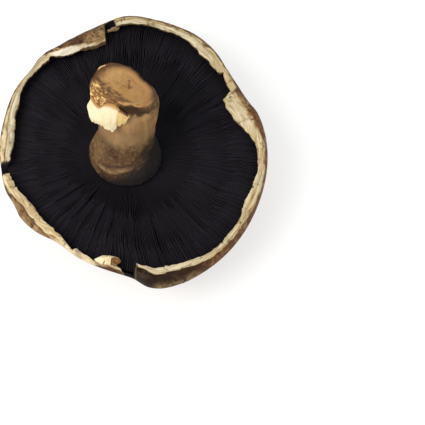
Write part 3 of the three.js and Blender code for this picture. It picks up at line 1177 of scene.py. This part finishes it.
        given = {
            "way": way,
            "skin": skin * (1.0 - wall) * (1.0 - dark),
            "gilled": dark,
            "torn": self.torn.straight(angle) * smoothstep(across, edge, edge + 0.12) * (1.0 - 0.8 * wall),
            "margin": self.margin_shade.straight(angle),
            # painted shade on the wall below the lip, along its inner edge and under the curl
            "wall": np.maximum(np.maximum(wall, brim), 0.5 * sector(angle, 255.0, 263.0, 4.0)),
            "inner": two_rolls * smoothstep(across, split, split + 0.1),
            "groove": np.clip(0.7 * groove + 0.9 * cracks * smoothstep(across, 0.2, 0.5), 0.0, 1.0),
            "worn": self._worn(angle, across),
            "painted_shade": self._painted_shade(angle, across, edge),
        }
        return raised(points, relief), self._masks(points, **given)

    def _bed(self, angle: Array) -> tuple[Array, dict[str, Array]]:
        """The bed of the gills, from under the lip to inside the stem."""
        form = self.form
        out = np.linspace(1.0, -0.35, self.bed_rows)[:, None]
        inner = STEM.side(angle, np.zeros_like(angle))
        outer = polar(angle, form.reach(angle) - form.gill_bed_inset, 0.0)
        points = blend(inner, outer, np.broadcast_to(out, (self.bed_rows, self.columns)))
        inside = np.clip(out, 0.0, 1.0)
        points[..., 2] = form.gill_edge(angle, inside) - form.bed_depth(inside) - 0.2
        way = self._way(angle, np.broadcast_to(out, points.shape[:2]))
        return points, self._masks(points, way=way, gilled=1.0)

    def _gap(self, angle: Array) -> Array:
        """1 where the margin is torn away, 0 elsewhere."""
        return np.clip(sum(sector(angle, start, end, 1.2) for start, end in self.gaps), 0.0, 1.0)


@dataclass(frozen=True)
class Tier:
    """Gills of one length: how many, where they start between stem and margin, and their detail."""

    count: int
    start: float
    first: float
    segments: int


class GillTier(Enum):
    """The three lengths of gill, which take turns round the cap."""

    LONG = Tier(count=240, start=-0.02, first=0.0, segments=15)
    SHORT = Tier(count=240, start=0.3, first=0.5, segments=11)
    SHORTEST = Tier(count=480, start=0.62, first=0.25, segments=7)


@dataclass
class Gills:
    """The gills, as thin closed blades that stand on the bed."""

    form: CapForm
    finish: GillFinish
    effects: Effects
    root_share: float = 0.62
    edge_thickness: float = 0.16
    sway: float = 0.8
    lean: float = 0.5
    sunk: float = 0.5
    # Places where gills have parted, as an angle, how far out, how long and how wide the parting is.
    partings: tuple[tuple[float, float, float, float], ...] = (
        (14, 0.72, 0.25, 0.7), (22, 0.55, 0.3, 0.6), (31, 0.8, 0.22, 0.9), (38, 0.62, 0.3, 0.8),
        (47, 0.75, 0.25, 0.7), (63, 0.6, 0.25, 0.5), (88, 0.8, 0.2, 0.5), (125, 0.7, 0.2, 0.4),
        (152, 0.6, 0.25, 0.4), (171, 0.55, 0.3, 0.5), (186, 0.8, 0.25, 0.7), (203, 0.6, 0.3, 0.8),
        (211, 0.7, 0.3, 0.9), (218, 0.5, 0.3, 1.0), (226, 0.66, 0.34, 1.2), (233, 0.45, 0.3, 0.9),
        (241, 0.62, 0.3, 1.0), (249, 0.5, 0.3, 0.7), (258, 0.6, 0.25, 0.8), (268, 0.7, 0.25, 0.6),
        (286, 0.6, 0.3, 0.6), (312, 0.65, 0.3, 0.7), (334, 0.6, 0.3, 0.6),
    )

    def build(self) -> list[bpy.types.Object]:
        """Builds each tier of gills and hands it over."""
        material = self.finish.material(self.effects)
        pieces = []
        for tier in GillTier:
            surface = self._blades(tier.value)
            piece = surface.build(f"gills_{tier.name.lower()}", material, smooth=False)
            hand_over(piece)
            pieces.append(piece)
        return pieces

    def _blades(self, tier: Tier) -> Surface:
        """All blades of one tier.

        A blade follows a line from the stem to the margin that a slow noise sways sideways. Its
        section is a wedge: a root in the bed and a thin free edge, which leans a little.
        """
        random = np.random.default_rng(tier.count + int(100 * tier.start))
        number = np.arange(tier.count)
        angle = (number + tier.first) * FULL_TURN / tier.count
        angle = (angle + random.uniform(-0.12, 0.12, tier.count) * FULL_TURN / tier.count)[:, None]
        start = tier.start + (random.uniform(-0.07, 0.07, (tier.count, 1)) if tier.start > 0 else 0.0)
        out = start + (1.0 - start) * np.linspace(0.0, 1.0, tier.segments + 1)[None, :]
        line = self._line(angle, out)
        along = np.gradient(line, axis=1)
        side = np.stack([-along[..., 1], along[..., 0], np.zeros_like(along[..., 0])], axis=-1)
        side /= np.linalg.norm(side, axis=-1, keepdims=True)
        edge, root = line.copy(), line.copy()
        depth = self.form.bed_depth(np.clip(out, 0.0, 1.0)) + self.sunk
        grown = smoothstep(out - start, 0.0, 0.12) if tier.start > 0 else np.ones_like(out)
        tall = depth * (0.25 + 0.75 * grown) * (1.0 - 0.05 * random.uniform(0, 1, (tier.count, 1)))
        unevenness = 0.22 * Grain(31, 5.0).at(line)
        root[..., 2] = self.form.gill_edge(angle, out) - depth
        edge[..., 2] = root[..., 2] + tall + unevenness
        edge += side * (self.lean * Grain(32, 9.0).at(line))[..., None]
        radius = np.linalg.norm(line[..., :2] - np.array(STEM.foot[:2]), axis=-1)
        crowd = sum((out >= grown_from.value.start) * grown_from.value.count for grown_from in GillTier)
        pitch = 2 * np.pi * radius / crowd
        half_root = side * (0.5 * self.root_share * np.minimum(pitch, 0.8))[..., None]
        half_edge = side * (0.5 * self.edge_thickness)
        section = np.stack([root + half_root, root - half_root, edge - half_edge, edge + half_edge], axis=2)
        # the free edges take the painted highlight in the finish
        free = np.array([0.0, 0.0, 1.0, 1.0])
        masks = {
            "free_edge": np.broadcast_to(free, section.shape[:3]).ravel(),
            "shade": np.broadcast_to(random.uniform(0, 1, (tier.count, 1, 1)), section.shape[:3]).ravel(),
        }
        return Surface(section.reshape(-1, 3), self._faces(tier), masks)

    def _line(self, angle: Array, out: Array) -> Array:
        """The middle line of each blade in plan, swayed and pushed aside by the partings."""
        inner = STEM.side(angle, np.zeros_like(out * angle))
        outer = polar(angle, self.form.reach(angle) - self.form.gill_bed_inset, 0.0)
        line = blend(inner, outer, np.broadcast_to(out, inner.shape[:2]))
        line[..., 2] = 0.0
        tangent = polar(angle + 90.0, 1.0, 0.0)
        push = self.sway * Grain(33, 16.0, 2).at(line)
        for at, middle, half, width in self.partings:
            away = turn_between(angle, at)
            side = np.tanh(away / 0.7) * np.exp(-((away / 4.0) ** 2))
            push = push + 0.5 * width * side * hill(out, middle, half)
        return line + tangent * push[..., None]

    @staticmethod
    def _faces(tier: Tier) -> list[Array]:
        """Four long sides and two ends for each blade."""
        ring = np.arange(4)
        after = np.roll(ring, -1)
        starts = 4 * np.arange(tier.segments)[:, None]
        sides = np.stack([starts + ring, starts + 4 + ring, starts + 4 + after, starts + after], axis=-1)
        last = 4 * tier.segments
        ends = np.array([[0, 1, 2, 3], [last + 3, last + 2, last + 1, last]])
        one = np.concatenate([sides.reshape(-1, 4), ends])
        blades = np.arange(tier.count)[:, None, None] * 4 * (tier.segments + 1)
        return [(one[None] + blades).reshape(-1, 4)]


@dataclass
class Stem:
    """The stem with its broken end, as one closed surface."""

    form: StemForm
    finish: StemFinish
    effects: Effects
    columns: int = 320
    side_rows: int = 170
    face_rows: int = 60
    sunk: float = 0.08
    # How far up the foot is dusted black, with painted shade where it meets the gills.
    black_top: RimTable = RimTable((
        (0, 0.4), (40, 0.3), (90, 0.15), (150, 0.04), (205, 0.04), (225, 0.1), (245, 0.19), (265, 0.23),
        (300, 0.3), (330, 0.42),
    ))
    # Where the browned face begins, from 1 at the edge of the broken end.
    face_start: RimTable = RimTable((
        (0, 0.97), (240, 0.97), (255, 1.0), (300, 0.98), (320, 0.95), (340, 0.97),
    ))
    # Where the painted shade of the undercut ends below or inside that edge.
    undercut_top: RimTable = RimTable((
        (0, 0.93), (245, 0.97), (268, 1.0), (285, 1.08), (300, 1.0), (320, 0.95), (336, 0.93),
    ))

    def build(self) -> bpy.types.Object:
        """Builds the stem and hands it over."""
        angle = np.linspace(0.0, FULL_TURN, self.columns, endpoint=False)[None, :]
        side = np.linspace(-self.sunk, 1.0, self.side_rows)[:, None]
        middle = np.linspace(1.0, 0.02, self.face_rows + 1)[1:, None]
        rings = np.concatenate([self.form.side(angle, side), self.form.broken_end(angle, middle)])
        up = np.broadcast_to(np.concatenate([side, 2.0 - middle]), rings.shape[:2])
        relief, masks = self._relief(rings, np.broadcast_to(angle, rings.shape[:2]), up)
        surface = Surface.from_rings(raised(rings, relief), masks)
        piece = surface.build("stem", self.finish.material(self.effects))
        hand_over(piece)
        return piece

    def _relief(self, points: Array, angle: Array, up: Array) -> tuple[Array, dict[str, Array]]:
        """Unevenness of the stem, and the masks that go with it.

        Args:
            points: The smooth form.
            angle: Degrees round the stem.
            up: 0 at the foot, 1 at the edge of the broken end and 2 at its middle.

        Returns:
            The height at each point and the masks.
        """
        side = smoothstep(up, 1.0, 0.93)
        face = smoothstep(up, self.face_start.straight(angle) - 0.02, self.face_start.straight(angle) + 0.03)
        fibres = Grain(41, 1.0, 3).at(points / (2.0, 2.0, 18.0))
        lumps = Grain(42, 9.0, 3).at(points)
        fine = Grain(43, 1.6, 2).at(points)
        bulb = smoothstep(up + 0.05 * lumps + 0.02 * fine, 0.6, 0.44)
        ridge, crease = self._folds(angle, up, lumps)
        downhill, along = self._across_break(points)
        downhill = downhill + 1.1 * lumps
        border = downhill - 4.0 - 0.2 * along + 0.8 * fine
        broken = smoothstep(up, 0.86, 0.93)
        mottle = smoothstep(border, -0.9, 1.3) * smoothstep(along, -12.0, -9.0) * broken
        valley = hill(border, 0.8, 2.4) * smoothstep(along, -11.0, -8.0) * smoothstep(up, 1.0, 1.1)
        crumb = smoothstep(downhill, 8.2, 9.2) * smoothstep(downhill + 0.78 * along, 7.6, 8.8)
        crumb = crumb * smoothstep(along, 9.5, 7.5) * smoothstep(up, 0.83, 0.87)
        warp = np.stack([fine, np.roll(fine, 31, axis=1), lumps], axis=-1)
        inside, label = Cells(44, 2.1).at(points + 1.1 * warp)
        crumb_top = smoothstep(inside + 0.2 * (fine - 0.5), 0.0, 0.46) * (0.45 + 0.55 * label)
        fleck = sector(angle, 131.0, 148.0, 5.0) * hill(up, 1.015, 0.035)
        top = self.undercut_top.straight(angle) + 0.02 * fine
        reach = sector(angle, 254.0, 346.0, 14.0)
        shadow = reach * smoothstep(up, top + 0.02, top - 0.02) * smoothstep(up + 0.014 * fine, 0.9, 0.93)
        shadow = shadow * (0.72 + 0.28 * smoothstep(up + 0.01 * fine, top, top - 0.06))
        undercut = sector(angle, 254.0, 332.0, 30.0) * hill(up, 0.945, 0.08)
        pits = face * (1.0 - crumb) * smoothstep(Grain(45, 2.6, 2).at(points) + 0.3 * mottle, 0.7, 1.1)
        relief = (
            0.07 * fibres * side
            + 0.35 * (lumps - 0.7 * (1.0 - bulb))
            + 0.2 * fine * bulb
            + 0.3 * ridge
            - 0.15 * crease
            + 0.9 * crumb * (crumb_top - 0.95)
            - 2.0 * undercut
            + 0.7 * sector(angle, 105.0, 150.0, 25.0) * hill(up, 1.0, 0.12)
            - 0.35 * valley
            - 0.2 * pits
            + 0.12 * (fine - 0.6) * np.maximum(face, mottle)
        )
        # spore dust and painted shade: the right side of the bulb and the foot darken to near black
        spore_dust_and_shade = sector(angle, -60.0, 62.0, 44.0) * smoothstep(up + 0.05 * lumps, 0.6, 0.38)
        black_top = self.black_top.straight(angle)
        black = smoothstep(up + 0.03 * lumps, black_top + 0.08, black_top - 0.06)
        masks = {
            "face": np.maximum(face, mottle),
            # the far rim of the broken face: browned, and darkened with painted shade
            "face_edge": smoothstep(up + 0.04 * lumps, 1.34, 1.04) * sector(angle, -34.0, 190.0, 30.0),
            "mottle": mottle,
            # pinkish tint with painted shade on the right side of the broken face
            "ruddy_shade": 0.8 * smoothstep(downhill + 0.3 * along, 1.0, -9.0),
            "brim": reach * hill(up, top + 0.05, 0.06) * (0.5 + 0.9 * fine).clip(0.0, 1.0),
            "bulb": bulb,
            # golden tint and painted highlight on the lit left flank of the bulb
            "golden_highlight": 0.45 * sector(angle, 170.0, 222.0, 30.0) * hill(up + 0.08 * fine, 0.38, 0.2),
            # painted highlight on the ridge and painted shade in the crease
            "ridge": ridge * (0.6 + 0.6 * fine).clip(0.0, 0.9),
            "crease": 0.6 * crease,
            "crumb": np.maximum(crumb, fleck),
            "crumb_top": np.maximum(crumb_top, fleck),
            # painted shade down the right side below the broken end, mottled in the finish
            "undercut": 0.8 * sector(angle, -44.0, 14.0, 16.0) * hill(up, 0.93, 0.12),
            "shadow": shadow,
            "pit": 0.7 * pits,
            "foot": np.maximum(0.97 * black, 0.86 * spore_dust_and_shade),
        }
        return relief, {name: mask * np.ones_like(up) for name, mask in masks.items()}

    def _folds(self, angle: Array, up: Array, lumps: Array) -> tuple[Array, Array]:
        """A low ridge round the front of the bulb, and the crease above it."""
        bent = up + 0.02 * lumps - 0.0011 * turn_between(angle, 215.0)
        front = sector(angle, 218.0, 280.0, 24.0)
        return hill(bent, 0.24, 0.034) * front, hill(bent, 0.28, 0.014) * sector(angle, 228.0, 278.0, 24.0)

    def _across_break(self, points: Array) -> tuple[Array, Array]:
        """How far down the broken slope a point lies from the middle, and how far along it."""
        turn = np.radians(215.6)
        away = points[..., :2] - np.array(self.form.top[:2])
        down = away @ np.array([np.cos(turn), np.sin(turn)])
        return down, away @ np.array([np.sin(turn), -np.cos(turn)])


@dataclass
class TornShelf:
    """Flesh torn loose under the broken end: a ragged plate that stands out of the stem's side."""

    name: str
    form: StemForm
    finish: TornFinish
    effects: Effects
    start: float
    end: float
    high: Profile
    low: Profile
    out: Profile
    thickness: float
    seed: int
    columns: int = 150
    rows: int = 60

    def build(self) -> bpy.types.Object:
        """Builds the plate and hands it over.

        The outer face runs down from the stem and out; the inner face lies a thickness behind it.
        Rings round the plate go from its left edge to its right edge.
        """
        across = np.linspace(0.0, 1.0, self.columns)[:, None]
        down = np.linspace(0.0, 1.0, self.rows)[None, :]
        outer = self._face(across, down, 0.0)
        inner = self._face(across, down[:, ::-1], self.thickness)
        rings = np.concatenate([outer, inner], axis=1)
        browned = smoothstep(np.concatenate([down, down[:, ::-1]], axis=1), 0.16, 0.0)
        masks = {"browned": np.broadcast_to(browned, rings.shape[:2])}
        surface = Surface.from_rings(rings, masks)
        piece = surface.build(self.name, self.finish.material(self.effects))
        hand_over(piece)
        return piece

    def _face(self, across: Array, down: Array, behind: float) -> Array:
        """Points on one face of the plate."""
        angle = self.start + (self.end - self.start) * across
        edge = polar(angle, 16.0, 0.0)
        ragged = 0.014 * Grain(self.seed, 2.6).at(edge) + 0.012 * Grain(self.seed + 1, 0.8, 2).at(edge)
        low = self.low.at(across) + ragged
        high = self.high.at(across)
        share = high + (low - high) * down
        angle, share = np.broadcast_arrays(angle, share)
        points = self.form.side(angle, share)
        lumps = Grain(self.seed + 2, 3.2).at(points)
        taper = smoothstep(across, 0.0, 0.08) * smoothstep(across, 1.0, 0.92)
        out = self.out.at(across) * smoothstep(down, -0.1, 0.75) * taper + 0.35 * lumps * down
        thin = behind * (0.35 + 0.65 * taper)
        return points + polar(angle, out - thin, 0.0)


@dataclass
class Curl:
    """A scrap of margin rolled up like a carpet's end.

    The section is a spiral of one turn, whose radius steps back where the turn closes. It is carried
    along the margin from a closed tip to a hollow end.
    """

    name: str
    form: CapForm
    finish: TornFinish
    effects: Effects
    start: float
    end: float
    height: float
    inset: Profile
    radius: Profile
    spiral: float
    seed: int
    # Where a crack runs over the roll, as a share of its length, and how deep it is.
    crack: tuple[float, float] = (0.42, 0.0)
    # How far the upper side of the mouth is cut back, as a share of the roll's length.
    slant: float = 0.0
    hollow: float = 0.1
    columns: int = 96
    rows: int = 90

    def build(self) -> bpy.types.Object:
        """Builds the roll and hands it over."""
        along = np.linspace(0.0, 1.0, self.rows)[:, None]
        turned = np.linspace(1.0, 0.0, self.columns, endpoint=False)[None, :]
        mouth = np.maximum(along - 0.88, 0.0) / 0.12
        turn = np.radians(FULL_TURN * turned - 60.0)
        place = np.minimum(along, 0.88) / 0.88 - self.hollow * smoothstep(mouth, 0.15, 1.0)
        upper = (1.0 + np.cos(turn - 0.9)) / 2
        place = place - self.slant * smoothstep(along, 0.55, 0.88) * (1.0 - mouth) * upper
        angle = self.start + (self.end - self.start) * place
        swell = np.sqrt(np.clip(1.0 - (1.0 - along / 0.3).clip(0.0) ** 2, 0.0, 1.0))
        radius = self.radius.at(place) * swell * (1.0 - mouth) * (1.0 - self.spiral * turned)
        level = self.form.widest_height + self.form.wave(angle) + self.height
        away = self.form.reach(angle) - self.inset.at(place) + radius * np.cos(turn)
        points = polar(angle, away, level + radius * np.sin(turn))
        lumps = Grain(self.seed, 2.4, 3).at(points)
        at, deep = self.crack
        split = hill(place + 0.04 * lumps, at, 0.04) * hill(turned, 0.18, 0.2)
        folded = hill(turned, 0.96, 0.06)
        points = raised(points, (0.3 * lumps - deep * split) * (1.0 - mouth))
        swirl = 0.92 + 0.08 * np.cos(turn - 9.0 * mouth)
        browned = np.clip(folded + smoothstep(mouth, 0.02, 0.14) * swirl + split, 0.0, 1.0)
        piece = Surface.from_rings(points, {"browned": browned * np.ones_like(lumps)}).build(
            self.name, self.finish.material(self.effects)
        )
        hand_over(piece)
        return piece


# Studio


@dataclass(frozen=True)
class Studio:
    """A floor like a light table, soft light and the camera."""

    effects: Effects
    elevation: float = 66.0
    aim: tuple[float, float, float] = (35.03, -31.02, 25.0)
    distance: float = 480.0
    lens: float = 93.5
    floor_colour: Colour = srgb(176, 176, 175)
    floor_haze: Colour = srgb(172, 172, 171)
    floor_glow: float = 0.62
    floor_size: float = 4000.0
    sky: Colour = (0.94, 0.97, 1.0, 1.0)
    sky_strength: float = 0.76

    def build(self) -> None:
        """Sets up all of it."""
        self._floor()
        self._light()
        self._camera()

    def _floor(self) -> None:
        """A large level square just under the rest spot."""
        half = self.floor_size / 2
        corners = half * np.array([[-1, -1, 0], [1, -1, 0], [1, 1, 0], [-1, 1, 0]]) - (0.0, 0.0, 0.05)
        paint = Paint("floor", self.effects)
        haze = paint.node("ShaderNodeTexNoise", {"Vector": paint.place, "Scale": per(300)}).outputs["Fac"]
        colour = paint.mix(haze, self.floor_colour, self.floor_haze)
        shader = {"Base Color": colour, "Roughness": 0.7, "Specular IOR Level": 0.1}
        shader |= {"Emission Color": (1.0, 1.0, 0.99, 1.0), "Emission Strength": self.floor_glow}
        material = paint.close(shader, haze, distance=0.01)
        floor = Surface(corners, [np.array([[0, 1, 2, 3]])]).build("floor", material, smooth=False)

    def _light(self) -> None:
        """An even pale sky, and one broad soft lamp from the front left."""
        world = bpy.data.worlds.new("studio")
        world.use_nodes = True
        background = world.node_tree.nodes["Background"]
        background.inputs["Color"].default_value = self.sky
        background.inputs["Strength"].default_value = self.sky_strength
        bpy.context.scene.world = world
        self._lamp("key", (-560.0, -260.0, 760.0), 600.0, 6.4, (1.0, 0.96, 0.9))

    @staticmethod
    def _lamp(name: str, at: tuple[float, float, float], size: float, power: float, tint: tuple) -> None:
        """A square lamp that faces the origin.

        Args:
            name: Its name.
            at: Its place in millimetres.
            size: Its side in millimetres.
            power: Its power in watts.
            tint: Its colour.
        """
        lamp = bpy.data.lights.new(name, "AREA")
        lamp.size = size * MM
        lamp.energy = power
        lamp.color = tint
        holder = bpy.data.objects.new(name, lamp)
        place = np.array(at) * MM
        holder.location = place
        holder.rotation_euler = (-holder.location).to_track_quat("-Z", "Y").to_euler()
        bpy.context.scene.collection.objects.link(holder)

    def _camera(self) -> None:
        """A long lens that looks down along +Y, as steeply as the photograph was taken."""
        data = bpy.data.cameras.new("camera")
        data.lens = self.lens
        data.sensor_width = 36.0
        data.clip_start = 0.01
        data.clip_end = 20.0
        camera = bpy.data.objects.new("camera", data)
        steep = np.radians(self.elevation)
        back = np.array([0.0, -np.cos(steep), np.sin(steep)])
        camera.location = (np.array(self.aim) + self.distance * back) * MM
        camera.rotation_euler = Euler((np.radians(90.0 - self.elevation), 0.0, 0.0))
        bpy.context.scene.collection.objects.link(camera)
        bpy.context.scene.camera = camera


STEM = StemForm()


def main() -> None:
    """Builds the mushroom and its studio."""
    logging.basicConfig(level=logging.INFO, format="%(name)s %(message)s")
    scene = bpy.context.scene
    scene.view_settings.view_transform = "Standard"
    scene.view_settings.look = "None"
    form, effects = CapForm(), Effects()
    Studio(effects).build()
    Cap(form, CapFinish(), effects).build()
    Gills(form, GillFinish(), effects).build()
    Stem(STEM, StemFinish(), effects).build()
    fresh = TornFinish("fresh torn flesh", srgb(232, 216, 180), srgb(226, 206, 164))
    dry = TornFinish("drying torn flesh", srgb(212, 182, 120), srgb(186, 150, 92), srgb(130, 90, 52))
    TornShelf(
        "torn_shelf", STEM, fresh, effects, start=186.0, end=262.0,
        high=Profile(((0, 0.88), (0.25, 0.87), (0.4, 0.88), (0.58, 0.94), (0.85, 0.965), (1, 0.95))),
        low=Profile((
            (0, 0.79), (0.18, 0.76), (0.38, 0.765), (0.58, 0.78), (0.71, 0.785), (0.82, 0.785),
            (0.91, 0.79), (1, 0.83),
        )),
        out=Profile(((0, 2.4), (0.12, 2.8), (0.3, 3.7), (0.5, 3.7), (0.78, 3.1), (0.91, 2.2), (1, 1.2))),
        thickness=1.6, seed=51,
    ).build()
    TornShelf(
        "torn_shard", STEM, dry, effects, start=254.0, end=280.0,
        high=Profile(((0, 0.95), (0.5, 0.94), (1, 0.915))),
        low=Profile(((0, 0.825), (0.3, 0.83), (0.6, 0.855), (1, 0.905))),
        out=Profile(((0, 1.5), (0.4, 1.5), (1, 0.5))),
        thickness=1.2, seed=61,
    ).build()
    cream = TornFinish("rolled margin", srgb(236, 220, 180), srgb(212, 184, 134), srgb(126, 78, 34))
    Curl(
        "curl", form, cream, effects, start=254.3, end=265.8, height=4.2,
        inset=Profile(((0, 1.4), (0.3, 2.7), (0.7, 3.5), (1, 3.8))),
        radius=Profile(((0, 1.0), (0.3, 2.1), (0.5, 2.35), (0.8, 2.3), (1, 2.1))),
        spiral=0.3, seed=71, crack=(0.38, 1.0), slant=0.46, hollow=0.16,
    ).build()
    tan = TornFinish("browned scrap", srgb(160, 132, 94), srgb(104, 78, 50), srgb(84, 60, 38))
    Curl(
        "nib", form, tan, effects, start=97.9, end=102.9, height=1.8,
        inset=Profile(((0, 6.0), (1, 5.2))),
        radius=Profile(((0, 1.2), (0.4, 1.2), (1, 0.8))), spiral=0.2, seed=81,
    ).build()


if __name__ == "__main__":
    main()
